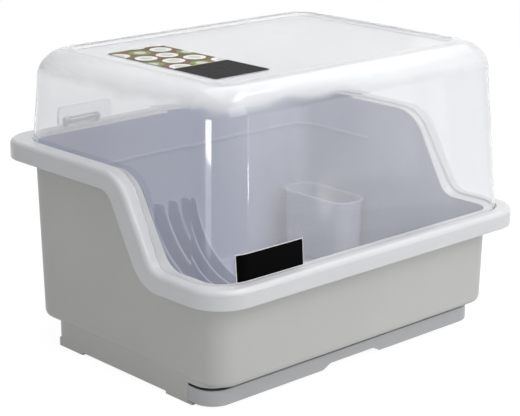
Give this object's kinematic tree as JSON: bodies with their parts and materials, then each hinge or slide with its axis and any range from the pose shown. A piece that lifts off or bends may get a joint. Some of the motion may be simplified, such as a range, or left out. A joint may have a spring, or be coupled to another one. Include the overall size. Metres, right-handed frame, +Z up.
{
  "type": "dish drainer",
  "caption": "Covered dish drainer: scooped grey plastic tub on low feet, clear lid hinged at the back, sliding drip tray, lift-out plate rack and cutlery holder.",
  "frame": {"origin": "on the table, under the middle of the tub's rim outline", "axes": "+X along the long side, -Y towards the low scooped front, +Z up"},
  "size_m": [0.48, 0.378, 0.342],
  "materials": {
    "tub_plastic": "warm light grey polypropylene, satin, faintly translucent",
    "tray_plastic": "slightly cooler grey polypropylene, satin",
    "insert_plastic": "pale blue-grey polypropylene, satin",
    "clear_plastic": "clear, slightly milky plastic, smooth",
    "clip_plastic": "milky plastic, smooth",
    "label": "black printed film with a pale edge, blank",
    "card": null
  },
  "bodies": {
    "tub": {"drainer_tub": "tub_plastic"},
    "tray": {"drip_tray": "tray_plastic"},
    "rack": {"plate_rack": "insert_plastic"},
    "holder": {"cutlery_holder": "insert_plastic"},
    "lid": {"lid": "clear_plastic", "hinge_clip_left": "clip_plastic", "hinge_clip_right": "clip_plastic", "front_label": "label", "top_card": "card"}
  },
  "joints": [
    {"name": "lid_hinge", "type": "hinge", "parent": "tub", "child": "lid", "pos_m": [0, 0.177, 0.2465], "axis": [-1, 0, 0], "range_deg": [0, 100]},
    {"name": "tray_slide", "type": "slide", "parent": "tub", "child": "tray", "axis": [0, -1, 0], "range_m": [0, 0.2]},
    {"name": "rack_lift", "type": "slide", "parent": "tub", "child": "rack", "axis": [0, 0, 1], "range_m": [0, 0.15]},
    {"name": "holder_lift", "type": "slide", "parent": "tub", "child": "holder", "axis": [0, 0, 1], "range_m": [0, 0.15]}
  ]
}
